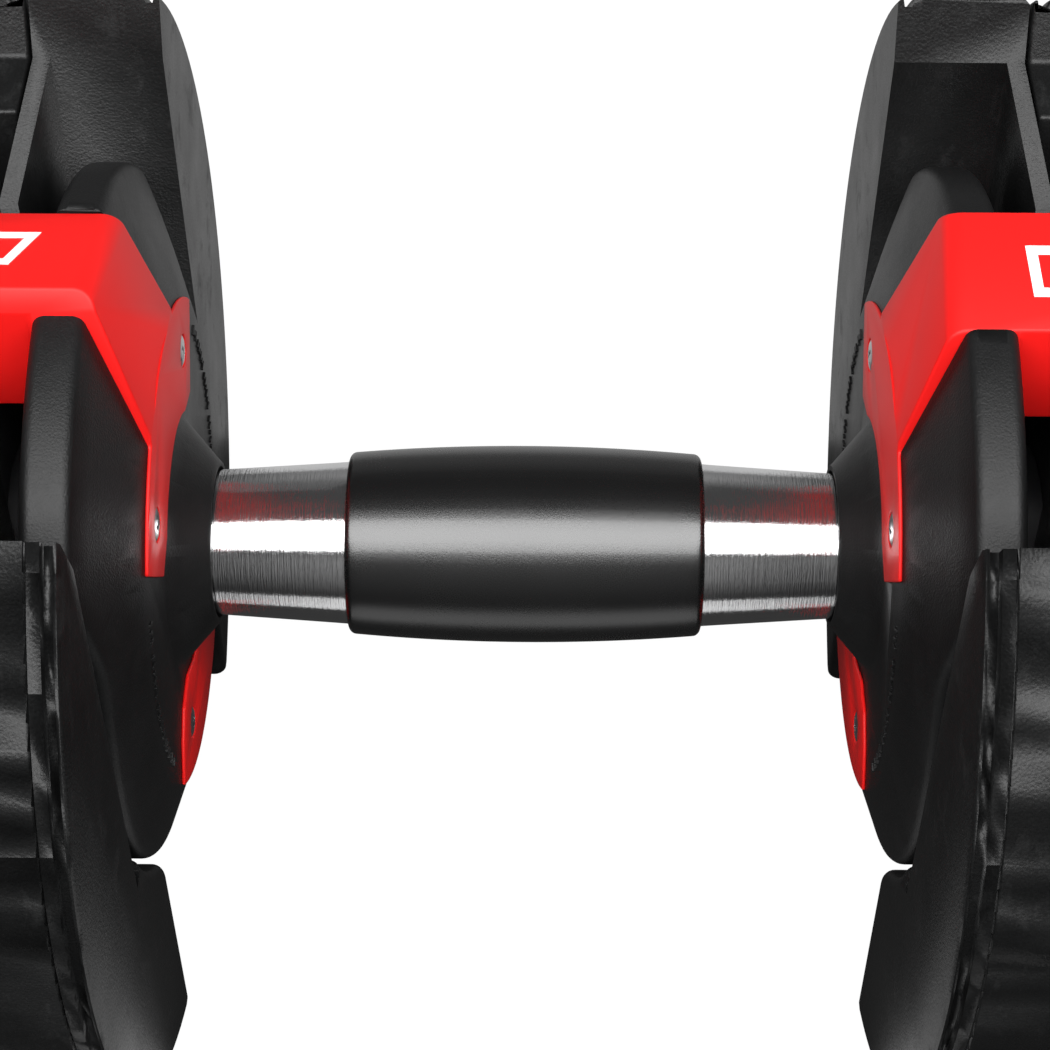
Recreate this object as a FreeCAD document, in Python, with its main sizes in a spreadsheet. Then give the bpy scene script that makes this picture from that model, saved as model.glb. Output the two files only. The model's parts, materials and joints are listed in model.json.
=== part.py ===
import FreeCAD, Part
import os
import re

import Sketcher

# An adjustable dumbbell: a handle between two weight stacks, each with a selector and a dial.
# X runs along the handle, Z is up and the plates stand on Z = 0. Every sub-part is drawn about
# the handle's axis with its outer end towards +X; the left-hand ones are turned half a turn.

SIZES = {
    "axis_height": 93.0,
    # handle
    "grip_half_length": 33.8,
    "grip_radius": 19.0,
    "grip_end_radius": 17.5,
    "grip_edge": 1.4,
    "tube_radius": 15.7,
    "tube_neck_radius": 14.05,
    "tube_end": 74.0,
    "axle_radius": 8.0,
    "axle_end": 186.0,
    # hub cover
    "boss_face": 59.0,
    "boss_radius": 16.2,
    "boss_foot_radius": 24.0,
    "boss_bore": 14.7,
    "hub_face": 66.3,
    "hub_face_radius": 47.5,
    "hub_rim_front": 71.0,
    "hub_radius": 61.0,
    "hub_back": 83.6,
    "hub_wall": 4.0,
    "hub_edge": 2.4,
    "crown_radius": 72.8,
    "crown_half_width": 55.5,
    "crown_front": 75.0,
    "crown_corner": 9.0,
    "crown_blend": 30.0,
    "backing_thickness": 3.0,
    "running_gap": 0.06,
    # red covers
    "trim_thickness": 0.7,
    "bridge_gap": 0.15,
    "bridge_foot": 41.0,
    "bridge_foot_half_width": 17.6,
    "bridge_knee": 46.0,
    "bridge_fold": 73.4,
    "bridge_fold_round": 4.0,
    "bridge_low_side": 14.6,
    "bridge_low_top": 70.7,
    "bridge_ridge": 10.5,
    "bridge_top": 75.6,
    "bridge_high_side": 13.0,
    "bridge_high_shoulder": 72.0,
    "bridge_hollow_top": 58.0,
    "bridge_skirt": 50.0,
    "bridge_end": 177.0,
    "bridge_wall": 3.0,
    # screws in the hub face
    "screw_radius": 3.2,
    "screw_length": 9.0,
    "screw_upper_across": 22.5,
    "screw_upper_rise": 29.5,
    "screw_lower_across": 19.0,
    "screw_lower_drop": 32.3,
    # selector
    "selector_start": 84.2,
    "selector_end": 179.0,
    "spindle_radius": 11.0,
    "collar_radius": 20.0,
    "disc_radius": 45.0,
    "disc_thickness": 3.0,
    "ring_inner": 33.5,
    "ring_outer": 37.0,
    "ring_length": 3.4,
    "dial_step": 22.5,
    "ring_gap_angle": 19.0,
    # weight plates
    "plate_start": 70.2,
    "plate_space": 0.6,
    "plate_1_thickness": 25.0,
    "plate_2_thickness": 17.0,
    "plate_3_thickness": 15.0,
    "plate_4_thickness": 14.0,
    "plate_5_thickness": 12.0,
    "plate_6_thickness": 12.0,
    "plate_1_radius": 105.0,
    "plate_2_radius": 105.0,
    "plate_3_radius": 104.0,
    "plate_4_radius": 102.0,
    "plate_5_radius": 100.0,
    "plate_6_radius": 98.0,
    "plate_edge_round": 1.5,
    "horn_foot_across": 65.5,
    "horn_foot_up": 66.0,
    "horn_spread": 19.2,
    "horn_rise": 48.0,
    "hub_slot_radius": 63.2,
    "hub_slot_floor": 22.0,
    "foot_half_gap": 42.3,
    "foot_round": 7.0,
    "foot_edge": 2.5,
    "disc_slot_radius": 49.0,
    "disc_space": 8.4,
    "disc_lead": 0.8,
    "spindle_slot_half_width": 22.5,
    "lug_half_width": 3.5,
    "lug_inner": 26.0,
    "lug_outer": 32.0,
    "lug_length": 3.0,
    # end bracket, lock and dial
    "bracket_start": 168.6,
    "bracket_end": 177.0,
    "bracket_radius": 46.0,
    "bracket_tongue": 13.0,
    "bracket_neck": 9.5,
    "bracket_foot": 78.0,
    "plunger_radius": 4.0,
    "plunger_top": 58.0,
    "plunger_tip": 84.0,
    "plunger_bore_top": 46.0,
    "spring_wire": 0.6,
    "spring_radius": 3.0,
    "dial_start": 177.8,
    "dial_face": 190.0,
    "dial_radius": 47.0,
    "dial_pocket": 15.0,
    "number_ring_inner": 31.0,
    "number_ring_outer": 43.0,
    "number_ring_depth": 1.2,
    "knob_radius": 28.0,
    "knob_face": 200.0,
    "knob_bar_half_width": 7.0,
}
PLATES = range(1, 7)
DIAL_STEPS = 16
SIDES = {"right": 0, "left": 180}

document = FreeCAD.newDocument("AdjustableDumbbell")
sheet = document.addObject("Spreadsheet::Sheet", "Sizes")
for row, (alias, value) in enumerate(SIZES.items(), start=1):
    sheet.set(f"A{row}", alias)
    sheet.set(f"B{row}", str(value))
    sheet.setAlias(f"B{row}", alias)
document.recompute()

finished = []


def linked(expression):
    """An expression in the sheet's aliases, spelt the way the document reads it."""
    return re.sub(
        r"[a-z][a-z0-9_]+",
        lambda word: f"Sizes.{word.group()}" if word.group() in SIZES else word.group(),
        str(expression),
    )


def new_body(name, side=None):
    """An empty body about the handle's axis; the left side's is turned half a turn about Z."""
    label = f"{side}_{name}" if side else name
    body = document.addObject("PartDesign::Body", label)
    body.Label = label
    turn = FreeCAD.Rotation(FreeCAD.Vector(0, 0, 1), SIDES[side] if side else 0)
    body.Placement = FreeCAD.Placement(FreeCAD.Vector(), turn)
    body.setExpression(".Placement.Base.z", linked("axis_height"))
    finished.append(body)
    return body


def new_sketch(body, plane_role, offset=0, turn=0):
    """A sketch on one of the body's own origin planes, moved along its normal, turned about X."""
    drawing = body.newObject("Sketcher::SketchObject", "Sketch")
    plane = next(p for p in body.Origin.OriginFeatures if p.Role == plane_role)
    drawing.AttachmentSupport = [(plane, "")]
    drawing.MapMode = "FlatFace"
    rotation = FreeCAD.Rotation(FreeCAD.Vector(1, 0, 0), turn)
    drawing.AttachmentOffset = FreeCAD.Placement(FreeCAD.Vector(), rotation)
    drawing.setExpression(".AttachmentOffset.Base.z", linked(offset))
    return drawing


def constrain(drawing, kind, geometry, expression):
    """Bind one size of the sketch to the sheet."""
    constraint = Sketcher.Constraint(kind, *geometry, 1.0)
    index = drawing.addConstraint(constraint)
    drawing.setExpression(f"Constraints[{index}]", linked(expression))


def draw_point(drawing, across, up):
    """A construction point held at two sizes; returns its index and where it stands."""
    index = drawing.addGeometry(Part.Point(FreeCAD.Vector()), True)
    constrain(drawing, "DistanceX", (index, 1), across)
    constrain(drawing, "DistanceY", (index, 1), up)
    drawing.recompute()
    point = drawing.Geometry[index]
    return index, FreeCAD.Vector(point.X, point.Y, 0)


def draw_outline(drawing, corners):
    """A closed outline. Each corner is (x, y), with a straight edge to the next one, or
    (x, y, middle x, middle y), with an arc through that middle to the next one."""
    points = [draw_point(drawing, *corner[:2]) for corner in corners]
    for number, corner in enumerate(corners):
        ends = [points[number], points[(number + 1) % len(corners)]]
        if len(corner) == 2:
            edge = drawing.addGeometry(Part.LineSegment(ends[0][1], ends[1][1]), False)
        else:
            middle, place = draw_point(drawing, *corner[2:])
            start, end = ends[0][1], ends[1][1]
            if (place - start).cross(end - start).z < 0:
                ends.reverse()
            edge = drawing.addGeometry(Part.Arc(ends[0][1], place, ends[1][1]), False)
            drawing.addConstraint(Sketcher.Constraint("PointOnObject", middle, 1, edge))
        for end_number, (index, _) in enumerate(ends, start=1):
            drawing.addConstraint(
                Sketcher.Constraint("Coincident", edge, end_number, index, 1))


def draw_circle(drawing, radius, across=0, up=0):
    """A circle about a centre given in the sketch's own two directions."""
    centre = FreeCAD.Vector(1, 1, 0)
    edge = drawing.addGeometry(Part.Circle(centre, FreeCAD.Vector(0, 0, 1), 5), False)
    constrain(drawing, "Radius", (edge,), radius)
    constrain(drawing, "DistanceX", (edge, 3), across)
    constrain(drawing, "DistanceY", (edge, 3), up)


def box_corners(low_x, low_y, high_x, high_y):
    return [(low_x, low_y), (high_x, low_y), (high_x, high_y), (low_x, high_y)]


def revolve(body, corners, cut=False, turn=0, angle=360):
    """Turn an outline of (x along the axis, distance from it) about the axis."""
    drawing = new_sketch(body, "XZ_Plane", turn=turn)
    draw_outline(drawing, corners)
    feature = body.newObject("PartDesign::Groove" if cut else "PartDesign::Revolution", "Turned")
    feature.Profile = drawing
    feature.ReferenceAxis = (drawing, ["H_Axis"])
    feature.Angle = angle
    feature.Midplane = angle < 360
    return checked(body, feature, cut)


def extrude(body, start, end, corners=None, circles=(), cut=False):
    """Push an outline drawn in (Y, Z), or circles of (radius, y, z), from X = start to X = end."""
    drawing = new_sketch(body, "YZ_Plane", offset=start)
    if corners:
        draw_outline(drawing, corners)
    for circle in circles:
        draw_circle(drawing, *circle)
    feature = body.newObject("PartDesign::Pocket" if cut else "PartDesign::Pad", "Pushed")
    feature.Profile = drawing
    feature.Reversed = cut
    feature.setExpression("Length", linked(f"({end}) - ({start})"))
    return checked(body, feature, cut)


def extrude_across(body, half_width, corners, cut=False):
    """Push an outline drawn in (X, Z) both ways from the middle along Y."""
    drawing = new_sketch(body, "XZ_Plane")
    draw_outline(drawing, corners)
    feature = body.newObject("PartDesign::Pocket" if cut else "PartDesign::Pad", "Across")
    feature.Profile = drawing
    feature.Midplane = True
    feature.setExpression("Length", linked(f"2 * ({half_width})"))
    return checked(body, feature, cut)


def checked(body, feature, cut):
    """Stop if a feature failed, or if it left the body's volume as it was."""
    before = feature.BaseFeature.Shape.Volume if feature.BaseFeature else 0
    document.recompute()
    after = feature.Shape.Volume
    if cut == (after > before - 1e-6) or not feature.isValid():
        raise RuntimeError(f"{body.Label}: {feature.Name} went from {before:.1f} to {after:.1f}")
    if not feature.Shape.isValid():
        raise RuntimeError(f"{body.Label}: {feature.Name} has a broken shape")
    return feature


def soften(body, size, chosen, chamfer=False):
    """Round or chamfer the edges of the body's last feature that the test picks out."""
    base = body.Tip
    names = [f"Edge{n}" for n, edge in enumerate(base.Shape.Edges, start=1) if chosen(edge)]
    if not names:
        raise RuntimeError(f"{body.Label}: no edge to soften")
    feature = body.newObject("PartDesign::Chamfer" if chamfer else "PartDesign::Fillet", "Soft")
    feature.Base = (base, names)
    feature.setExpression("Size" if chamfer else "Radius", linked(size))
    document.recompute()
    if not feature.isValid() or not feature.Shape.isValid():
        raise RuntimeError(f"{body.Label}: an edge could not be softened by {size}")
    return feature


def spans(edge, axis, low, high):
    """Whether an edge lies wholly between two places along X, Y or Z."""
    box = edge.BoundBox
    lowest = {"X": box.XMin, "Y": box.YMin, "Z": box.ZMin}[axis]
    highest = {"X": box.XMax, "Y": box.YMax, "Z": box.ZMax}[axis]
    return lowest > low - 0.01 and highest < high + 0.01


def make_grip():
    body = new_body("grip")
    revolve(body, [
        ("-grip_half_length", "tube_radius"),
        ("grip_half_length", "tube_radius"),
        ("grip_half_length", "grip_end_radius", 0, "grip_radius"),
        ("-grip_half_length", "grip_end_radius"),
    ])
    soften(body, "grip_edge", lambda edge: edge.BoundBox.ZMax > 17 and edge.BoundBox.XLength < 0.01)


def make_handle_tube():
    body = new_body("handle_tube")
    revolve(body, [
        ("-tube_end", "axle_radius"),
        ("tube_end", "axle_radius"),
        ("tube_end", "tube_neck_radius"),
        ("boss_face", "tube_neck_radius"),
        ("grip_half_length", "tube_radius"),
        ("-grip_half_length", "tube_radius"),
        ("-boss_face", "tube_neck_radius"),
        ("-tube_end", "tube_neck_radius"),
    ])


def make_axle():
    body = new_body("axle")
    extrude(body, "-axle_end", "axle_end", circles=[("axle_radius",)])
    soften(body, 1.0, lambda edge: edge.BoundBox.XLength < 0.01, chamfer=True)


def make_hub_cover(side):
    body = new_body("hub_cover", side)
    extrude(body, "hub_face", "hub_back", circles=[("hub_radius",)])
    extrude(body, "hub_face", "hub_back", box_corners(
        "-crown_half_width", 0, "crown_half_width", "crown_radius"))
    revolve(body, [
        ("hub_face - 1", "hub_face_radius"),
        ("hub_face", "hub_face_radius"),
        ("hub_rim_front", "hub_radius"),
        ("crown_front", "crown_radius"),
        ("hub_back + 1", "crown_radius"),
        ("hub_back + 1", "crown_radius + 25"),
        ("hub_face - 1", "crown_radius + 25"),
    ], cut=True)
    full = SIZES["hub_back"]
    soften(body, "crown_blend", lambda edge: (
        edge.BoundBox.XLength > 5 and edge.BoundBox.YLength < 0.01
        and 20 < edge.BoundBox.ZMin < 30))
    soften(body, "crown_corner", lambda edge: (
        edge.BoundBox.XLength > 5 and edge.BoundBox.YLength < 0.01 and edge.BoundBox.ZMin > 40))
    soften(body, "hub_edge", lambda edge: spans(edge, "X", full, full))
    soften(body, "hub_edge", lambda edge: (
        edge.BoundBox.XMax < full - 4 and edge.BoundBox.DiagonalLength > 8
        and farthest(edge) > SIZES["hub_radius"] - 0.5))
    revolve(body, [
        ("boss_face", "boss_bore"),
        ("hub_face + 2", "boss_bore"),
        ("hub_face + 2", "boss_foot_radius + 2"),
        ("hub_face", "boss_foot_radius"),
        ("boss_face + 0.6", "boss_radius"),
        ("boss_face", "boss_radius - 0.6"),
    ])
    revolve(body, [
        ("boss_face - 1", 0),
        ("tube_end", 0),
        ("tube_end", "boss_bore"),
        ("boss_face - 1", "boss_bore"),
    ], cut=True)
    revolve(body, [
        ("tube_end", 0),
        ("hub_back + 1", 0),
        ("hub_back + 1", "axle_radius"),
        ("tube_end", "axle_radius"),
    ], cut=True)
    cavity = "hub_radius - hub_wall"
    revolve(body, [
        ("hub_rim_front + hub_wall", "boss_foot_radius"),
        ("hub_back + 1", "boss_foot_radius"),
        ("hub_back + 1", cavity),
        ("hub_rim_front + hub_wall", cavity),
    ], cut=True)
    extrude(body, "hub_face - 1", "hub_back + 1", bridge_section("bridge_gap"), cut=True)
    for across, up in screw_places():
        extrude(body, "hub_face - 1", "hub_face - trim_thickness + screw_length",
                circles=[("screw_radius", across, up)], cut=True)


def bridge_section(grown=0):
    """The opening in the crown that the bridge's foot fills, in (Y, Z), wider by a gap."""
    top = "bridge_top + 10"
    return [
        (f"-bridge_foot_half_width - {grown}", "bridge_foot"),
        (f"bridge_foot_half_width + {grown}", "bridge_foot"),
        (f"bridge_high_side + {grown}", "bridge_high_shoulder"),
        (f"bridge_high_side + {grown}", top),
        (f"-bridge_low_side - {grown}", top),
        (f"-bridge_low_side - {grown}", "bridge_low_top"),
    ]


def farthest(edge):
    """The greatest distance of an edge's ends and middle from the handle's axis."""
    ends = [edge.valueAt(t) for t in (edge.FirstParameter, edge.LastParameter)]
    middle = edge.valueAt((edge.FirstParameter + edge.LastParameter) / 2)
    return max((p.y ** 2 + p.z ** 2) ** 0.5 for p in [*ends, middle])


def screw_places(upper=True, lower=True):
    places = []
    for sign in ("", "-"):
        if upper:
            places.append((f"{sign}screw_upper_across", "screw_upper_rise"))
        if lower:
            places.append((f"{sign}screw_lower_across", "-screw_lower_drop"))
    return places


def make_hub_backing(side):
    body = new_body("hub_backing", side)
    extrude(body, "hub_back - backing_thickness", "hub_back",
            circles=[("hub_radius - hub_wall",), ("boss_foot_radius",)])


def make_hub_screws(side):
    """Four crosshead screws, their heads just under the trim's face, in one node."""
    body = new_body("hub_screws", side)
    start = "hub_face - trim_thickness + 0.3"
    drawing_places = [("screw_radius", across, up) for across, up in screw_places()]
    for place in drawing_places:
        extrude(body, start, f"{start} + screw_length - 1", circles=[place])


def make_top_cover(side):
    """The red crescent on the hub's face and the bridge that rises from it over the stack."""
    body = new_body("top_cover", side)
    behind = "hub_back + 0.4"
    extrude(body, "hub_face - trim_thickness", behind, bridge_section())
    extrude(body, behind, "bridge_end", box_corners(
        "-bridge_low_side", "bridge_skirt", "bridge_high_side", "bridge_top + 10"))
    extrude(body, 0, "bridge_end + 1", [
        ("-bridge_foot_half_width", "bridge_low_top - 0.6"),
        ("-bridge_low_side", "bridge_low_top"),
        ("bridge_ridge", "bridge_top"),
        ("bridge_high_side", "bridge_high_shoulder"),
        ("bridge_foot_half_width", "bridge_high_shoulder - 0.6"),
        ("bridge_foot_half_width", "bridge_top + 11"),
        ("-bridge_foot_half_width", "bridge_top + 11"),
    ], cut=True)
    extrude_across(body, "bridge_foot_half_width + 1", [
        ("hub_face - 5", "bridge_knee"),
        ("hub_face - trim_thickness", "bridge_knee"),
        ("bridge_fold", "bridge_top"),
        ("bridge_fold", "bridge_top + 5"),
        ("hub_face - 5", "bridge_top + 5"),
    ], cut=True)
    soften(body, "bridge_fold_round", lambda edge: (
        edge.BoundBox.XMin > 70 and edge.BoundBox.XMax < 76 and edge.BoundBox.YLength > 20
        and edge.BoundBox.ZMin > 66))
    extrude(body, "hub_rim_front + hub_wall", behind + " + 1", box_corners(
        "-bridge_foot_half_width - 1", "bridge_foot - 1",
        "bridge_foot_half_width + 1", "bridge_hollow_top"), cut=True)
    extrude(body, "hub_back + 3", "bridge_end - bridge_wall", box_corners(
        "-bridge_low_side + bridge_wall", "bridge_skirt - 1",
        "bridge_high_side - bridge_wall", "bridge_low_top - bridge_wall"), cut=True)
    face = "hub_face - trim_thickness"
    extrude(body, face, "hub_face", [
        (36.0, 30.7, 0, "hub_face_radius - 0.2"),
        (-36.0, 30.7),
        (-31.5, 25.5),
        (-24.0, 17.0),
        (-16.5, 19.2, 0, "boss_foot_radius + 1.2"),
        (16.5, 19.2),
        (24.0, 17.0),
        (31.5, 25.5),
    ])
    extrude(body, face + " - 1", "hub_face + 1", circles=[
        ("screw_radius", across, up) for across, up in screw_places(lower=False)], cut=True)


def make_lower_trim(side):
    body = new_body("lower_trim", side)
    face = "hub_face - trim_thickness"
    extrude(body, face, "hub_face", [
        (-34.5, -32.3, 0, "0.2 - hub_face_radius"),
        (34.5, -32.3),
        (29.5, -25.5),
        (24.0, -21.5),
        (16.0, -21.0),
        (9.0, -25.0, 0, "-boss_foot_radius - 2.8"),
        (-9.0, -25.0),
        (-16.0, -21.0),
        (-24.0, -21.5),
        (-29.5, -25.5),
    ])
    extrude(body, face + " - 1", "hub_face + 1", circles=[
        ("screw_radius", across, up) for across, up in screw_places(upper=False)], cut=True)


def plate_inner(number):
    """Where a plate's inner face stands along X, as an expression."""
    before = [f"plate_{n}_thickness + plate_space" for n in PLATES if n < number]
    return " + ".join(["plate_start", *before])


def plate_outer(number):
    return f"{plate_inner(number)} + plate_{number}_thickness"


def disc_start(number):
    """The first selector disc stands behind the hub; the others stand in their plates' fronts."""
    return "selector_start" if number == 1 else f"{plate_inner(number)} + disc_lead"


def web_start(number):
    return f"{disc_start(number)} + disc_space - disc_lead"


def make_plate(side, number):
    body = new_body(f"plate_{number}", side)
    inner = plate_inner(number)
    outer = plate_outer(number)
    radius = f"plate_{number}_radius"
    revolve(body, [
        (inner, 0),
        (outer, 0),
        (outer, f"{radius} - plate_edge_round"),
        (f"{outer} - plate_edge_round", radius),
        (f"{inner} + 5.6", radius),
        (f"{inner} + 5.3", f"{radius} - 0.8"),
        (f"{inner} + 5.1", f"{radius} - 0.4"),
        (f"{inner} + 3.0", f"{radius} - 0.4"),
        (f"{inner} + 2.7", f"{radius} - 2.0"),
        (f"{inner} + 1.3", f"{radius} - 2.0"),
        (f"{inner} + 1.0", f"{radius} - 0.6"),
        (f"{inner} + 0.5", f"{radius} - 0.6"),
        (inner, f"{radius} - 1.1"),
    ])
    beyond = "plate_1_radius + 5"
    extrude(body, f"{inner} - 1", f"{outer} + 1", [
        ("-horn_foot_across", "horn_foot_up"),
        ("horn_foot_across", "horn_foot_up"),
        ("horn_foot_across + horn_spread", "horn_foot_up + horn_rise"),
        ("-horn_foot_across - horn_spread", "horn_foot_up + horn_rise"),
    ], cut=True)
    extrude(body, f"{inner} - 1", f"{outer} + 1",
            box_corners(f"-({beyond})", f"-({beyond})", beyond, "-axis_height"), cut=True)
    web = web_start(number)
    if number == 1:
        extrude(body, f"{inner} - 1", web, box_corners(
            "-horn_foot_across", "-hub_slot_floor", "horn_foot_across", beyond), cut=True)
        extrude(body, f"{inner} - 1", web, circles=[("hub_slot_radius",)], cut=True)
        extrude(body, f"{inner} - 1", web, box_corners(
            "-foot_half_gap", f"-({beyond})", "foot_half_gap", "-hub_slot_floor"), cut=True)
        soften(body, "foot_round", lambda edge: (
            edge.BoundBox.XLength > 5 and edge.BoundBox.YLength < 0.01
            and -60 < edge.BoundBox.ZMin < -40 and abs(edge.BoundBox.YMin) > 30))
        soften(body, "foot_edge", lambda edge: (
            edge.BoundBox.XLength < 0.01 and edge.BoundBox.XMin < 71
            and edge.BoundBox.YLength < 0.01 and 40 < abs(edge.BoundBox.YMin) < 44))
    else:
        extrude(body, f"{inner} - 1", web, box_corners(
            "-disc_slot_radius", 0, "disc_slot_radius", beyond), cut=True)
        extrude(body, f"{inner} - 1", web, circles=[("disc_slot_radius",)], cut=True)
    extrude(body, inner, f"{outer} + 1", box_corners(
        "-spindle_slot_half_width", 0, "spindle_slot_half_width", beyond), cut=True)
    extrude(body, inner, f"{outer} + 1", circles=[("spindle_slot_half_width",)], cut=True)
    extrude(body, f"{web} - lug_length", web, box_corners(
        "-lug_half_width", "-lug_outer", "lug_half_width", "-lug_inner"))


def is_held(number, step):
    """Whether the selector holds a plate at a dial step: the three outer plates count up in
    halves, and the three inner ones join in turn."""
    if number >= 4:
        return (step >> (6 - number)) % 2 == 1
    return step >= {3: 8, 2: 12, 1: 14}[number]


def held_runs(number):
    """Each run of neighbouring dial steps that hold the plate, as (step before, step after)."""
    runs = []
    for step in range(1, DIAL_STEPS):
        if is_held(number, step):
            if not is_held(number, step - 1):
                runs.append([step - 1, DIAL_STEPS])
            runs[-1][1] = step + 1
    return runs


def make_disc(side, number):
    """A selector disc with its collar, and a ring that passes under the plate's lug except at
    the dial steps that leave the plate behind."""
    body = new_body(f"selector_disc_{number}", side)
    start = disc_start(number)
    face = f"{start} + disc_thickness"
    after = disc_start(number + 1) if number < 6 else "bracket_start - disc_lead"
    revolve(body, [
        (start, "spindle_radius"),
        (after, "spindle_radius"),
        (after, "collar_radius"),
        (face, "collar_radius"),
        (face, "disc_radius"),
        (start, "disc_radius"),
    ])
    gap = SIZES["ring_gap_angle"]
    for before, beyond in held_runs(number):
        middle = (before + beyond) / 2 * SIZES["dial_step"]
        angle = (beyond - before) * SIZES["dial_step"] - gap
        revolve(body, [
            (face, "ring_inner"),
            (f"{face} + ring_length", "ring_inner"),
            (f"{face} + ring_length", "ring_outer"),
            (face, "ring_outer"),
        ], turn=180 - middle, angle=angle)


def make_spindle(side):
    body = new_body("selector_spindle", side)
    revolve(body, [
        ("selector_start", "axle_radius + running_gap"),
        ("selector_end", "axle_radius + running_gap"),
        ("selector_end", "spindle_radius"),
        ("selector_start", "spindle_radius"),
    ])


def make_end_bracket(side):
    body = new_body("end_bracket", side)
    extrude(body, "bracket_start", "bracket_end", circles=[("bracket_radius",)])
    extrude(body, "bracket_start", "bracket_end", box_corners(
        "-bracket_tongue", "-bracket_foot", "bracket_tongue", 0))
    extrude(body, "bracket_start", "bridge_end - bridge_wall", box_corners(
        "-bracket_neck", 0, "bracket_neck", "bridge_low_top - bridge_wall"))
    extrude(body, "bracket_start - 1", "bracket_end + 1",
            circles=[("spindle_radius + 1",)], cut=True)
    middle = "(bracket_start + bracket_end) / 2"
    drill_up(body, middle, "plunger_radius - 0.6", "plunger_bore_top", "bracket_foot + 1")
    drill_up(body, middle, "plunger_radius + running_gap", "plunger_top - 8", "bracket_foot + 1")


def drill_up(body, along, radius, top, mouth):
    """A hole up the tongue, given by its radius and the depths of its top and mouth."""
    drawing = new_sketch(body, "XY_Plane", offset=f"-({mouth})")
    draw_circle(drawing, radius, along, 0)
    feature = body.newObject("PartDesign::Pocket", "Drilled")
    feature.Profile = drawing
    feature.Reversed = True
    feature.setExpression("Length", linked(f"({mouth}) - ({top})"))
    return checked(body, feature, True)


def make_bracket_screws(side):
    body = new_body("bracket_screws", side)
    for across in ("-9", "9"):
        extrude(body, "bracket_end", "bracket_end + 0.7", circles=[(3.0, across, 54)])


def make_lock_plunger(side):
    body = new_body("lock_plunger", side)
    drawing = new_sketch(body, "XY_Plane", offset="-plunger_tip")
    draw_circle(drawing, "plunger_radius", "(bracket_start + bracket_end) / 2", 0)
    feature = body.newObject("PartDesign::Pad", "Rod")
    feature.Profile = drawing
    feature.setExpression("Length", linked("plunger_tip - plunger_top"))
    checked(body, feature, False)
    soften(body, 1.0, lambda edge: edge.BoundBox.ZLength < 0.01)


def make_lock_spring(side):
    """A plain tube stands for the coil spring above the plunger."""
    body = new_body("lock_spring", side)
    drawing = new_sketch(body, "XY_Plane", offset="-plunger_top")
    middle = "(bracket_start + bracket_end) / 2"
    draw_circle(drawing, "spring_radius", middle, 0)
    draw_circle(drawing, "spring_radius - spring_wire", middle, 0)
    feature = body.newObject("PartDesign::Pad", "Coil")
    feature.Profile = drawing
    feature.setExpression("Length", linked("plunger_top - plunger_bore_top"))
    checked(body, feature, False)


def make_dial(side):
    body = new_body("dial", side)
    revolve(body, [
        ("dial_start", "spindle_radius"),
        ("selector_end", "spindle_radius"),
        ("selector_end", "dial_pocket"),
        ("dial_face", "dial_pocket"),
        ("dial_face", "number_ring_inner"),
        ("dial_face - number_ring_depth", "number_ring_inner"),
        ("dial_face - number_ring_depth", "number_ring_outer"),
        ("dial_face", "number_ring_outer"),
        ("dial_face", "dial_radius - 1.5"),
        ("dial_face - 1.5", "dial_radius"),
        ("dial_start", "dial_radius"),
    ])


def make_number_ring(side):
    body = new_body("number_ring", side)
    extrude(body, "dial_face - number_ring_depth", "dial_face - 0.2",
            circles=[("number_ring_outer",), ("number_ring_inner",)])


def make_knob(side):
    body = new_body("dial_knob", side)
    revolve(body, [
        ("dial_face", "dial_pocket"),
        ("knob_face - 7", "dial_pocket"),
        ("knob_face - 7", 0),
        ("knob_face - 4", 0),
        ("knob_face - 4", "knob_radius - 4"),
        ("dial_face + 4", "knob_radius"),
        ("dial_face", "knob_radius"),
    ])
    extrude(body, "dial_face + 4", "knob_face", box_corners(
        "-knob_bar_half_width", "-knob_radius + 2", "knob_bar_half_width", "knob_radius - 2"))
    face = SIZES["knob_face"]
    soften(body, 1.5, lambda edge: spans(edge, "X", face, face))


def make_axle_washer(side):
    body = new_body("axle_washer", side)
    extrude(body, "selector_end + 0.1", "selector_end + 1.3",
            circles=[(13.5,), ("axle_radius",)])


def make_axle_nut(side):
    body = new_body("axle_nut", side)
    start = "selector_end + 1.3"
    half = 6.0
    across = [(f"{half} * 2 * cos({60 * n})", f"{half} * 2 * sin({60 * n})") for n in range(6)]
    extrude(body, start, "axle_end - 0.5", across)
    extrude(body, f"{start} - 1", "axle_end + 1", circles=[("axle_radius",)], cut=True)


def make_dial_pointer(side):
    body = new_body("dial_pointer", side)
    extrude(body, "bridge_end", "dial_face - 1", [(0, 49), (5, 58), (-5, 58)])


make_grip()
make_handle_tube()
make_axle()
for side in SIDES:
    make_hub_cover(side)
    make_hub_backing(side)
    make_top_cover(side)
    make_lower_trim(side)
    make_hub_screws(side)
    make_end_bracket(side)
    make_bracket_screws(side)
    make_lock_plunger(side)
    make_lock_spring(side)
    make_dial_pointer(side)
    make_axle_washer(side)
    make_axle_nut(side)
    make_spindle(side)
    make_dial(side)
    make_number_ring(side)
    make_knob(side)
    for number in PLATES:
        make_disc(side, number)
        make_plate(side, number)

document.recompute()
for item in document.Objects:
    if "Invalid" in item.State or "Error" in item.State:
        raise RuntimeError(f"{item.Label} is {item.State}")
for body in finished:
    if body.Shape.isNull() or not body.Shape.isValid():
        raise RuntimeError(f"{body.Label} has no valid shape")
os.makedirs("parts", exist_ok=True)
for body in finished:
    body.Shape.exportStep(os.path.join("parts", f"{body.Label}.step"))
print(f"{len(finished)} sub-parts written")
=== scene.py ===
import json
import math

import bmesh
import bpy
from mathutils import Matrix, Vector


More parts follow.
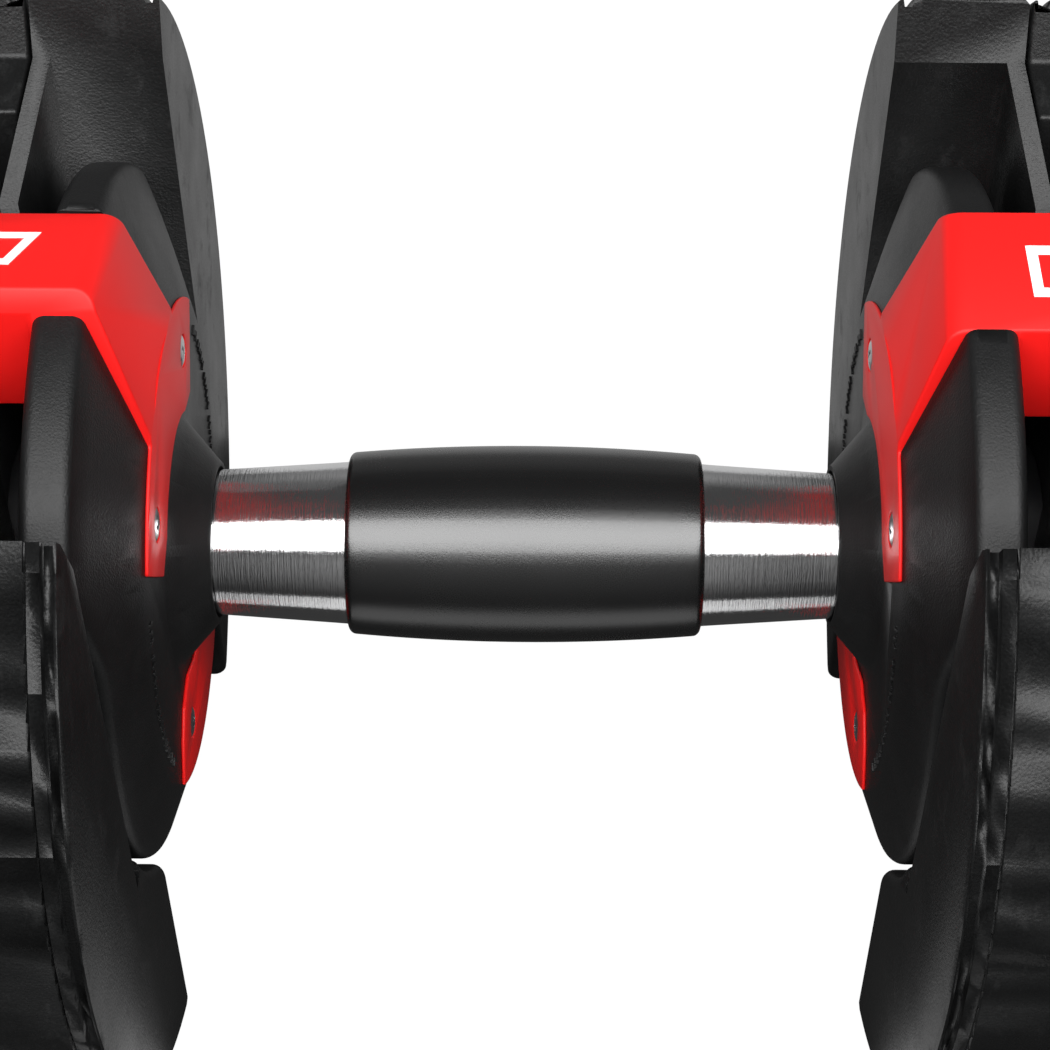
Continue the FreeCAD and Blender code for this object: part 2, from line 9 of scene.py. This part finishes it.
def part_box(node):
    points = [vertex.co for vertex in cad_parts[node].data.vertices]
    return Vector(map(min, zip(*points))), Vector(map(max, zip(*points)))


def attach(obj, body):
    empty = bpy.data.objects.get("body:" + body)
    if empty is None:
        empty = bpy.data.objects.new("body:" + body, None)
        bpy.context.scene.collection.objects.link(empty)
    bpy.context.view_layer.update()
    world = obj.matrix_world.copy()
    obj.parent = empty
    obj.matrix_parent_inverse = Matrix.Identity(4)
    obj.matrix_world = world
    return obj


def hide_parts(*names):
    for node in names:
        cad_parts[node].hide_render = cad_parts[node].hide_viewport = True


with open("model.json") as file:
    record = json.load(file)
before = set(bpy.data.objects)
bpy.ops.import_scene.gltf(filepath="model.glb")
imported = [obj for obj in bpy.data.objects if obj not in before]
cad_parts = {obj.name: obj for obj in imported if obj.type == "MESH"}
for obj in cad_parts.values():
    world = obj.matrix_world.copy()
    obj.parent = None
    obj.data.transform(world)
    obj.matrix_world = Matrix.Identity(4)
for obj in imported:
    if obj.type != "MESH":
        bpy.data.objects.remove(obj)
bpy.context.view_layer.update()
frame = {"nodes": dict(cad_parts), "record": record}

nodes = frame["nodes"]
sides = {"right": 1, "left": -1}
axisHeight = sum(corner[2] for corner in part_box("grip")) / 2  # the handle's axis above the floor
print("frame loaded:", len(nodes), "nodes")


# shader maths
class Shade:  # a socket that can be used in sums
    def __init__(self, tree, socket):
        self.tree = tree
        self.socket = socket

    def maths(self, operation, *values):
        tree = self.tree
        return tree.add("ShaderNodeMath", {"operation": operation}, dict(enumerate(values)))

    def __add__(self, other):
        return self.maths("ADD", self, other)

    __radd__ = __add__

    def __mul__(self, other):
        return self.maths("MULTIPLY", self, other)

    __rmul__ = __mul__

    def __sub__(self, other):
        return self.maths("SUBTRACT", self, other)

    def __rsub__(self, other):
        return self.maths("SUBTRACT", other, self)

    def clamped(self):
        return self.maths("MINIMUM", self.maths("MAXIMUM", self, 0.0), 1.0)


class Finish:  # one material and its nodes
    def __init__(self, name, **constants):
        self.material = bpy.data.materials.new(name)
        self.material.use_nodes = True
        self.nodes = self.material.node_tree.nodes
        self.links = self.material.node_tree.links
        self.shader = self.nodes["Principled BSDF"]
        for socket, value in constants.items():
            self.set(socket.replace("_", " "), value)

    def put(self, socket, value):  # a link, a number or a colour into a socket
        if isinstance(value, Shade):
            self.links.new(value.socket, socket)
        else:
            socket.default_value = value

    def set(self, name, value):
        self.put(self.shader.inputs[name], value)

    def add(self, kind, settings=None, inputs=None, output=0):
        node = self.nodes.new(kind)
        for name, value in (settings or {}).items():
            if name == "stops":
                ramp = node.color_ramp
                while len(ramp.elements) < len(value):
                    ramp.elements.new(0.5)
                for element, (place, shade) in zip(ramp.elements, value):
                    element.position = place
                    element.color = (*shade, 1) if isinstance(shade, tuple) else (shade,) * 3 + (1,)
            else:
                setattr(node, name, value)
        for name, value in (inputs or {}).items():
            self.put(node.inputs[name], value)
        return Shade(self, node.outputs[output])

    def place(self, scale=(1, 1, 1)):  # the object's own coordinates
        coords = self.add("ShaderNodeTexCoord", output=3)
        return self.add("ShaderNodeMapping", {}, {"Vector": coords, "Scale": scale})

    def noise(self, size, detail=2.0, rough=0.5, stretch=(1, 1, 1)):
        where = self.place(tuple(part / size for part in stretch))
        return self.add("ShaderNodeTexNoise", {}, {
            "Vector": where, "Scale": 1.0, "Detail": detail, "Roughness": rough})

    def ramp(self, value, *stops):
        return self.add("ShaderNodeValToRGB", {"stops": stops}, {"Fac": value})

    def blend(self, amount, first, second):
        return self.add("ShaderNodeMix", {"data_type": "RGBA"}, {
            "Factor": amount, 6: first, 7: second}, output=2)

    def bump(self, height, distance, strength=1.0, under=None):
        inputs = {"Height": height, "Distance": distance, "Strength": strength}
        if under:
            inputs["Normal"] = under
        return self.add("ShaderNodeBump", {}, inputs)


bodies = frame["record"]["behaviour"]["bodies"]
slots = {part["node"]: part["material_slot"] for part in frame["record"]["subparts"]}
homes = {node: body for body, group in bodies.items() for node in group}


# finishes
grip = {"colour": (0.0028, 0.0028, 0.0029), "rough": 0.22, "grain": 0.00028, "depth": 0.00002}


def gripFinish():
    f = Finish("gripRubber", Base_Color=(*grip["colour"], 1), Specular_IOR_Level=1.0)
    grain = f.noise(grip["grain"], detail=3)
    cloud = f.noise(0.02, detail=2)
    f.set("Roughness", grip["rough"] + cloud * 0.06 + grain * 0.04)
    f.set("Normal", f.bump(grain, grip["depth"], 0.8))
    return f


chrome = {"colour": (0.88, 0.88, 0.885), "rough": 0.09, "lineWidth": 0.0003, "lineLength": 0.012}


def chromeFinish():
    f = Finish("polishedChrome", Metallic=1.0)
    lines = f.noise(1.0, detail=4, rough=0.65, stretch=(
        1 / chrome["lineWidth"], 1 / chrome["lineLength"], 1 / chrome["lineLength"]))
    flecks = f.noise(0.0006, detail=3, stretch=(1.6, 0.35, 0.35))
    haze = f.noise(0.012, detail=3)
    f.set("Base Color", f.blend(haze, (*chrome["colour"], 1), (0.76, 0.76, 0.77, 1)))
    f.set("Roughness", (chrome["rough"] + (lines - 0.5) * 0.2 + haze * 0.03).clamped())
    first = f.bump(lines, 0.00010, 0.8)
    f.set("Normal", f.bump(flecks, 0.00005, 0.6, first))
    return f


def steelFinish():
    f = Finish("zincSteel", Metallic=1.0)
    cloud = f.noise(0.004, detail=4)
    lines = f.noise(1.0, detail=3, stretch=(900, 4500, 4500))
    f.set("Base Color", f.ramp(cloud, (0.3, (0.50, 0.50, 0.52)), (0.7, (0.68, 0.68, 0.68))))
    f.set("Roughness", 0.20 + cloud * 0.14 + lines * 0.06)
    f.set("Normal", f.bump(lines, 0.00001, 0.5))
    return f


hub = {"dark": (0.0016, 0.0017, 0.0018), "light": (0.0085, 0.0086, 0.0088), "shine": 0.30,
       "rough": 0.46, "grain": 0.00042, "depth": 0.00008}
plate = {"dark": (0.0014, 0.0015, 0.0016), "light": (0.0090, 0.0092, 0.0093), "shine": 0.36,
         "rough": 0.42, "grain": 0.0006, "depth": 0.00011}


def texturedBlack(name, values, scuff):
    f = Finish(name, Specular_IOR_Level=values["shine"])
    cells = f.add("ShaderNodeTexVoronoi", {"feature": "SMOOTH_F1"}, {
        "Vector": f.place(), "Scale": 1 / values["grain"], "Smoothness": 0.6})
    grain = f.noise(values["grain"] * 0.6, detail=4, rough=0.6)
    cloud = f.noise(0.016, detail=5, rough=0.62)
    rub = f.noise(0.0045, detail=4, rough=0.7, stretch=(1, 0.5, 0.5))
    scuffs = ((rub - 0.56) * 7.0).clamped() * scuff
    mixed = (cloud * 0.7 + grain * 0.35 + scuffs * 0.5).clamped()
    f.set("Base Color", f.blend(mixed, (*values["dark"], 1), (*values["light"], 1)))
    f.set("Roughness", (values["rough"] + (cloud - 0.5) * 0.22 + (grain - 0.5) * 0.3
                        + scuffs * 0.12).clamped())
    f.set("Normal", f.bump(cells * 0.6 + grain * 0.6, values["depth"], 0.75))
    return f


red = {"colour": (0.80, 0.010, 0.009), "deep": (0.74, 0.008, 0.007), "rough": 0.42}


def redFinish():
    f = Finish("redPlastic", Specular_IOR_Level=0.28)
    flow = f.noise(0.03, detail=2)
    grain = f.noise(0.0004, detail=2)
    f.set("Base Color", f.blend(flow, (*red["colour"], 1), (*red["deep"], 1)))
    f.set("Roughness", red["rough"] + flow * 0.08 + grain * 0.03)
    f.set("Normal", f.bump(grain, 0.000008, 0.5))
    return f


def discFinish():
    f = Finish("discPlastic")
    cloud = f.noise(0.01, detail=4)
    grain = f.noise(0.0005, detail=3)
    f.set("Base Color", f.ramp(cloud, (0.3, (0.016, 0.016, 0.017)), (0.7, (0.03, 0.03, 0.031))))
    f.set("Roughness", 0.34 + cloud * 0.16)
    f.set("Normal", f.bump(grain, 0.00002, 0.6))
    return f


def dialFinish():
    f = Finish("dialPlastic")
    cloud = f.noise(0.014, detail=4)
    grain = f.noise(0.00035, detail=3)
    f.set("Base Color", f.ramp(cloud, (0.3, (0.010, 0.010, 0.011)), (0.7, (0.019, 0.019, 0.02))))
    f.set("Roughness", 0.36 + cloud * 0.14 + grain * 0.05)
    f.set("Normal", f.bump(grain, 0.00003, 0.7))
    return f


def markingFinish():
    f = Finish("markingWhite")
    wear = f.noise(0.0016, detail=5, rough=0.65)
    f.set("Base Color", f.ramp(wear, (0.28, (0.66, 0.66, 0.65)), (0.42, (0.86, 0.86, 0.85))))
    f.set("Roughness", 0.42 + wear * 0.14)
    f.set("Normal", f.bump(wear, 0.00001, 0.4))
    return f


finishes = {
    "grip_rubber": gripFinish(),
    "chrome": chromeFinish(),
    "steel": steelFinish(),
    "hub_plastic": texturedBlack("hubPlastic", hub, 0.35),
    "plate_coating": texturedBlack("plateCoating", plate, 1.0),
    "red_plastic": redFinish(),
    "disc_plastic": discFinish(),
    "dial_plastic": dialFinish(),
    "marking_white": markingFinish(),
}
for name, node in nodes.items():
    node.data.materials.clear()
    node.data.materials.append(finishes[slots[name]].material)
print("finishes done:", len(finishes))


# hand tools
def choose(*objects):  # only these are selected, in object mode
    if bpy.context.object and bpy.context.object.mode != "OBJECT":
        bpy.ops.object.mode_set(mode="OBJECT")
    bpy.ops.object.select_all(action="DESELECT")
    for chosen in objects:
        chosen.select_set(True)
    if objects:
        bpy.context.view_layer.objects.active = objects[0]


def settle(piece):  # its place and turn go into its mesh
    choose(piece)
    bpy.ops.object.transform_apply(location=True, rotation=True, scale=True)


def useModifier(piece, kind, **settings):
    choose(piece)
    modifier = piece.modifiers.new(kind.title(), kind)
    for name, value in settings.items():
        setattr(modifier, name, value)
    bpy.ops.object.modifier_apply(modifier=modifier.name)


def smooth(piece, angle=35):
    choose(piece)
    bpy.ops.object.shade_smooth_by_angle(angle=math.radians(angle))


def copyOf(piece, move=None):
    copied = piece.copy()
    copied.data = piece.data.copy()
    bpy.context.collection.objects.link(copied)
    if move:
        copied.data.transform(move)
    return copied


def joined(pieces):
    choose(*pieces)
    if len(pieces) > 1:
        bpy.ops.object.join()
    return bpy.context.object


def pickFaces(piece, test):  # edit mode, with the faces chosen by their centre and normal
    choose(piece)
    bpy.ops.object.mode_set(mode="EDIT")
    bpy.ops.mesh.select_mode(type="FACE")
    bpy.ops.mesh.select_all(action="DESELECT")
    bpy.ops.object.mode_set(mode="OBJECT")
    for face in piece.data.polygons:
        face.select = test(face.center, face.normal)
    bpy.ops.object.mode_set(mode="EDIT")


def setOn(piece, name, body, slotName, replaced=()):
    piece.name = name
    piece.data.name = name
    piece.data.materials.clear()
    piece.data.materials.append(finishes[slotName].material)
    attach(piece, body)
    if replaced:
        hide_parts(*replaced)


halfTurn = Matrix.Rotation(math.pi, 4, "Z")


def setOnBoth(piece, name, body, slotName, replaced=()):  # the right one, and its turned twin
    twin = copyOf(piece, halfTurn)
    for side, one in (("right", piece), ("left", twin)):
        setOn(one, side + name, body.format(side=side), slotName,
              [node.format(side=side) for node in replaced])


def aboutAxis(angle):  # a turn about the handle's axis
    lift = Matrix.Translation((0, 0, axisHeight))
    return lift @ Matrix.Rotation(angle, 4, "X") @ lift.inverted()


# shells: each CAD solid with its edges rounded as a mould leaves them
shells = {  # 0 segments leaves the edges as the CAD rounds them
    "plate": {"width": 0.0009, "segments": 3},
    "plate_1": {"width": 0.0003, "segments": 0},
    "hub_cover": {"width": 0.0003, "segments": 0},
    "top_cover": {"width": 0.0006, "segments": 3},
    "grip": {"width": 0.0007, "segments": 3},
    "dial_knob": {"width": 0.0010, "segments": 3},
    "dial": {"width": 0.0007, "segments": 2},
    "end_bracket": {"width": 0.0006, "segments": 2},
    "other": {"width": 0.0003, "segments": 2},
    "sharpAngle": 32,
    "share": 0.4,  # how much of a narrow face its roundings may take
}
leftAsMade = ["hub_screws", "axle", "lock_spring"]


def roomBeside(edge):  # how far the narrower of the edge's two faces reaches from it
    start = edge.verts[0].co
    along = (edge.verts[1].co - start).normalized()
    return min(max((corner.co - start).cross(along).length for corner in face.verts)
               for face in edge.link_faces)


def roundEdges(piece, width, segments):
    choose(piece)
    bpy.ops.object.mode_set(mode="EDIT")
    bpy.ops.mesh.select_all(action="SELECT")
    bpy.ops.mesh.remove_doubles(threshold=0.000005)
    bpy.ops.mesh.dissolve_limited(angle_limit=math.radians(0.3))
    bpy.ops.object.mode_set(mode="OBJECT")
    shape = bmesh.new()
    shape.from_mesh(piece.data)
    weights = shape.edges.layers.float.new("bevel_weight_edge")
    for edge in shape.edges:
        if len(edge.link_faces) == 2 and edge.calc_face_angle(0) > math.radians(shells["sharpAngle"]):
            edge[weights] = min(1.0, shells["share"] * roomBeside(edge) / width)
    shape.to_mesh(piece.data)
    shape.free()
    if segments:
        useModifier(piece, "BEVEL", limit_method="WEIGHT", width=width, segments=segments,
                    use_clamp_overlap=False)
    smooth(piece)


def makeShells():
    for name, node in nodes.items():
        kind = name.removeprefix("left_").removeprefix("right_")
        if kind in leftAsMade:
            continue
        values = shells.get(kind, shells["plate"] if kind.startswith("plate") else shells["other"])
        shell = copyOf(node)
        shell.parent = None
        for tag in [key for key in shell.keys() if key.startswith("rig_")]:
            del shell[tag]
        roundEdges(shell, **values)
        words = name.split("_")
        setOn(shell, words[0] + "".join(w.title() for w in words[1:]), homes[name], slots[name], [name])
    print("shells done")


makeShells()


# screws in the hub face: a pan head with a cross recess
screw = {"radius": 0.0031, "length": 0.006, "shoulder": 0.0007, "shoulderRise": 0.0003,
         "dome": 0.0010, "domeRise": 0.00015, "crossLength": 0.0038, "crossWidth": 0.0008,
         "depth": 0.0012, "firstTurn": 0.4, "turnStep": 0.7,
         "upper": (0.0225, 0.0295), "lower": (0.019, -0.0323)}


def makeScrews():
    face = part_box("right_hub_screws")[0][0]
    choose()
    bpy.ops.mesh.primitive_cylinder_add(
        vertices=40, radius=screw["radius"], depth=screw["length"],
        location=(face + screw["length"] / 2, 0, axisHeight), rotation=(0, -math.pi / 2, 0))
    head = bpy.context.object
    settle(head)
    pickFaces(head, lambda centre, normal: normal.x < -0.9)
    bpy.ops.mesh.inset(thickness=screw["shoulder"])
    bpy.ops.transform.translate(value=(-screw["shoulderRise"], 0, 0))
    bpy.ops.mesh.inset(thickness=screw["dome"])
    bpy.ops.transform.translate(value=(-screw["domeRise"], 0, 0))
    for turn in (0, math.pi / 2):
        choose()
        bpy.ops.mesh.primitive_cube_add(size=1, location=(face, 0, axisHeight))
        cutter = bpy.context.object
        cutter.scale = (2 * screw["depth"], screw["crossLength"], screw["crossWidth"])
        cutter.rotation_euler = (turn, 0, 0)
        settle(cutter)
        useModifier(head, "BOOLEAN", operation="DIFFERENCE", object=cutter, solver="EXACT")
        bpy.data.objects.remove(cutter)
    smooth(head, 30)
    screws = []
    for number, (across, up) in enumerate((
            screw["upper"], (-screw["upper"][0], screw["upper"][1]),
            screw["lower"], (-screw["lower"][0], screw["lower"][1]))):
        spun = aboutAxis(screw["firstTurn"] + screw["turnStep"] * number)
        screws.append(copyOf(head, Matrix.Translation((0, across, up)) @ spun))
    bpy.data.objects.remove(head)
    setOnBoth(joined(screws), "HubScrewHeads", "handle", "steel", ["{side}_hub_screws"])


makeScrews()
print("screws done")


# raised ticks on the hub face, where the two red covers leave it bare
ticks = {"radius": 0.0432, "length": 0.0021, "width": 0.00065, "height": 0.00045,
         "edge": 0.00012, "from": 62, "to": 118, "step": 2.2,
         "pattern": (1.0, 0.55, 1.0, 0.0, 0.8, 1.0, 0.55)}


def makeTicks():
    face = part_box("right_lower_trim")[1][0]  # the trim lies on the hub face
    choose()
    bpy.ops.mesh.primitive_cube_add(size=1, location=(face, 0, axisHeight + ticks["radius"]))
    tick = bpy.context.object
    tick.scale = (2 * ticks["height"], ticks["width"], ticks["length"])
    settle(tick)
    useModifier(tick, "BEVEL", width=ticks["edge"], segments=2, limit_method="NONE")
    row = []
    centre = Vector((face, 0, axisHeight + ticks["radius"]))
    for flank in (1, -1):
        angle, number = ticks["from"], 0
        while angle <= ticks["to"]:
            size = ticks["pattern"][number % len(ticks["pattern"])]
            if size:
                short = Matrix.Translation(centre) @ Matrix.Diagonal((1, 1, size, 1)) @ (
                    Matrix.Translation(-centre))
                row.append(copyOf(tick, aboutAxis(math.radians(flank * angle)) @ short))
            angle, number = angle + ticks["step"], number + 1
    bpy.data.objects.remove(tick)
    setOnBoth(joined(row), "HubTicks", "handle", "hub_plastic")


makeTicks()
print("ticks done")


# white marks on the bridges
marks = {"start": 0.0865, "width": 0.0125, "pitch": 0.0172, "count": 5, "low": -0.0075,
         "high": 0.0032, "stroke": 0.0019, "lift": 0.00012,
         "slant": {"right": -0.05, "left": 0.36}, "panelTop": 0.0756, "panelAt": 0.0105,
         "panelFall": 4.9 / 25.1}


def makeMarks(side):
    slope = math.atan(marks["panelFall"])
    middle = (marks["low"] + marks["high"]) / 2
    rise = marks["panelTop"] - (marks["panelAt"] - middle) * marks["panelFall"] + axisHeight
    frames = []
    for number in range(marks["count"]):
        choose()
        bpy.ops.mesh.primitive_plane_add(size=1)
        block = bpy.context.object
        block.scale = (marks["width"], (marks["high"] - marks["low"]) / math.cos(slope), 1)
        settle(block)
        pickFaces(block, lambda centre, normal: True)
        bpy.ops.mesh.inset(thickness=marks["stroke"])
        if number % 2 == 0:
            bpy.ops.mesh.delete(type="FACE")
        lean = Matrix.Identity(4)
        lean[0][1] = marks["slant"][side]
        start = marks["start"] + marks["width"] / 2 + number * marks["pitch"]
        place = Matrix.Translation((start, middle, rise)) @ Matrix.Rotation(slope, 4, "X") @ lean
        choose(block)
        block.data.transform(place)
        useModifier(block, "SOLIDIFY", thickness=marks["lift"] * 2, offset=0)
        frames.append(block)
    whole = joined(frames)
    if side == "left":
        whole.data.transform(halfTurn)
    setOn(whole, side + "BridgeMarks", "handle", "marking_white")


for side in sides:
    makeMarks(side)
print("bridge marks done")


# the dial's grip ridges, numbers and knob line
dial = {"ridges": 48, "ridgeLength": 0.0078, "ridgeWidth": 0.0022, "ridgeHeight": 0.0011,
        "ridgeEdge": 0.0008, "tickWidth": 0.0005, "lineStart": 0.003, "lineHeight": 0.0002,
        "lineEdge": 0.00015,
        "numbers": 16, "numberRadius": 0.0385, "numberSize": 0.0052, "numberLift": 0.00025,
        "tickInner": 0.0325, "tickOuter": 0.0352, "lineLength": 0.021, "lineWidth": 0.0016}


def makeDialRidges():
    low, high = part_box("right_dial")
    radius = (high[1] - low[1]) / 2
    middle = (low[0] + high[0]) / 2
    choose()
    bpy.ops.mesh.primitive_cube_add(size=1, location=(middle, 0, axisHeight + radius))
    ridge = bpy.context.object
    ridge.scale = (dial["ridgeLength"], dial["ridgeWidth"], 2 * dial["ridgeHeight"])
    settle(ridge)
    useModifier(ridge, "BEVEL", width=dial["ridgeEdge"], segments=3, limit_method="NONE")
    smooth(ridge, 60)
    ring = [copyOf(ridge, aboutAxis(2 * math.pi * n / dial["ridges"])) for n in range(dial["ridges"])]
    bpy.data.objects.remove(ridge)
    setOnBoth(joined(ring), "DialRidges", "{side}_selector", "dial_plastic")


def makeDialNumbers():
    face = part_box("right_number_ring")[1][0]
    outward = Matrix(((0, 0, 1, 0), (1, 0, 0, 0), (0, 1, 0, 0), (0, 0, 0, 1)))
    digits = []
    for number in range(dial["numbers"]):
        choose()
        bpy.ops.object.text_add()
        text = bpy.context.object
        text.data.body = str(number + 1)
        text.data.size = dial["numberSize"]
        text.data.align_x = "CENTER"
        text.data.align_y = "CENTER"
        text.data.extrude = dial["numberLift"]
        bpy.ops.object.convert(target="MESH")
        digit = bpy.context.object
        turn = aboutAxis(-2 * math.pi * number / dial["numbers"])
        digit.data.transform(turn @ Matrix.Translation(
            (face, 0, axisHeight + dial["numberRadius"])) @ outward)
        digits.append(digit)
        choose()
        bpy.ops.mesh.primitive_cube_add(size=1, location=(
            face, 0, axisHeight + (dial["tickInner"] + dial["tickOuter"]) / 2))
        tick = bpy.context.object
        tick.scale = (2 * dial["numberLift"], dial["tickWidth"],
                      dial["tickOuter"] - dial["tickInner"])
        settle(tick)
        tick.data.transform(turn)
        digits.append(tick)
    setOnBoth(joined(digits), "DialNumbers", "{side}_selector", "dial_plastic")


def makeKnobLine():
    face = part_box("right_dial_knob")[1][0]
    choose()
    bpy.ops.mesh.primitive_cube_add(size=1, location=(
        face, 0, axisHeight + dial["lineLength"] / 2 + dial["lineStart"]))
    line = bpy.context.object
    line.scale = (2 * dial["lineHeight"], dial["lineWidth"], dial["lineLength"])
    settle(line)
    useModifier(line, "BEVEL", width=dial["lineEdge"], segments=2, limit_method="NONE")
    setOnBoth(line, "KnobLine", "{side}_selector", "marking_white")


makeDialRidges()
makeDialNumbers()
makeKnobLine()
print("dials done")


# studio
studio = {
    "floorSize": 14.0,
    "floorHeight": -0.0005,  # a little under the plates
    "domeRadius": 9.0,
    "glow": 1.0,
    "eyeSideways": 0.003,
    "eyeBack": -0.324,
    "eyeUp": 0.360,
    "lens": 85.7,
    "tiltUp": 0.0076,
    "cards": {"backCard": (0.52, (-4.0, 4.0), (0.12, 6.0)),
              "frontCard": (0.75, (-0.075, 0.075), (-0.135, -0.062))},
    "keyElevation": 58,
    "keyDistance": 1.1,
    "keySize": (2.3, 0.80),
    "keyPower": 38,
    "sky": ((0.25, 0.04), (0.5, 0.19), (0.68, 0.25), (0.84, 0.06)),  # from below to overhead
}


def glowing(stand, name, glow, seen):  # white to the eye, or only what the gloss reflects
    paint = Finish(name, Base_Color=(0, 0, 0, 1), Roughness=1.0,
                   Emission_Color=(1, 1, 1, 1), Emission_Strength=glow)
    stand.name = name
    stand.data.materials.append(paint.material)
    stand.visible_camera = seen
    stand.visible_glossy = not seen
    stand.visible_diffuse = False
    stand.visible_shadow = False
    stand.visible_transmission = False


def makeFloor():
    choose()
    bpy.ops.mesh.primitive_plane_add(size=studio["floorSize"], location=(0, 0, studio["floorHeight"]))
    glowing(bpy.context.object, "studioFloor", studio["glow"], True)
    for name, (glow, across, along) in studio["cards"].items():
        choose()
        bpy.ops.mesh.primitive_plane_add(size=1, location=(
            sum(across) / 2, sum(along) / 2, studio["floorHeight"]))
        card = bpy.context.object
        card.scale = (across[1] - across[0], along[1] - along[0], 1)
        glowing(card, name, glow, False)
    choose()
    bpy.ops.mesh.primitive_uv_sphere_add(segments=48, ring_count=24, radius=studio["domeRadius"])
    glowing(bpy.context.object, "studioDome", studio["glow"], True)


def addSoftbox(name, elevation, distance, size, power):  # elevation 0 is the front, 180 the back
    angle = math.radians(elevation)
    aim = Vector((0, 0, axisHeight))
    place = aim + distance * Vector((0, -math.cos(angle), math.sin(angle)))
    choose()
    bpy.ops.object.light_add(type="AREA", location=place)
    lamp = bpy.context.object
    lamp.name = name
    lamp.data.shape = "RECTANGLE"
    lamp.data.size, lamp.data.size_y = size
    lamp.data.energy = power
    lamp.rotation_euler = (aim - place).to_track_quat("-Z", "Y").to_euler()


def makeWorld():
    world = bpy.data.worlds.new("studioWorld")
    world.use_nodes = True
    tree = world.node_tree
    coords = tree.nodes.new("ShaderNodeTexCoord")
    parts = tree.nodes.new("ShaderNodeSeparateXYZ")
    height = tree.nodes.new("ShaderNodeMapRange")
    height.inputs["From Min"].default_value = -1
    ramp = tree.nodes.new("ShaderNodeValToRGB")
    while len(ramp.color_ramp.elements) < len(studio["sky"]):
        ramp.color_ramp.elements.new(0.5)
    for element, (place, glow) in zip(ramp.color_ramp.elements, studio["sky"]):
        element.position = place
        element.color = (glow, glow, glow, 1)
    tree.links.new(coords.outputs["Generated"], parts.inputs[0])
    tree.links.new(parts.outputs["Z"], height.inputs["Value"])
    tree.links.new(height.outputs[0], ramp.inputs["Fac"])
    tree.links.new(ramp.outputs[0], tree.nodes["Background"].inputs["Color"])
    bpy.context.scene.world = world


def makeCamera():
    target = Vector((0, 0, axisHeight))
    eye = target + Vector((studio["eyeSideways"], studio["eyeBack"], studio["eyeUp"]))
    choose()
    bpy.ops.object.camera_add(location=eye)
    camera = bpy.context.object
    camera.data.lens = studio["lens"]
    camera.data.sensor_width = 36
    camera.data.clip_start = 0.01
    camera.rotation_euler = (target - eye).to_track_quat("-Z", "Y").to_euler()
    camera.rotation_euler.x += studio["tiltUp"]
    bpy.context.scene.camera = camera


makeFloor()
makeWorld()
addSoftbox("keySoftbox", studio["keyElevation"], studio["keyDistance"], studio["keySize"],
           studio["keyPower"])
makeCamera()
bpy.context.scene.view_settings.view_transform = "Standard"
print("studio done")
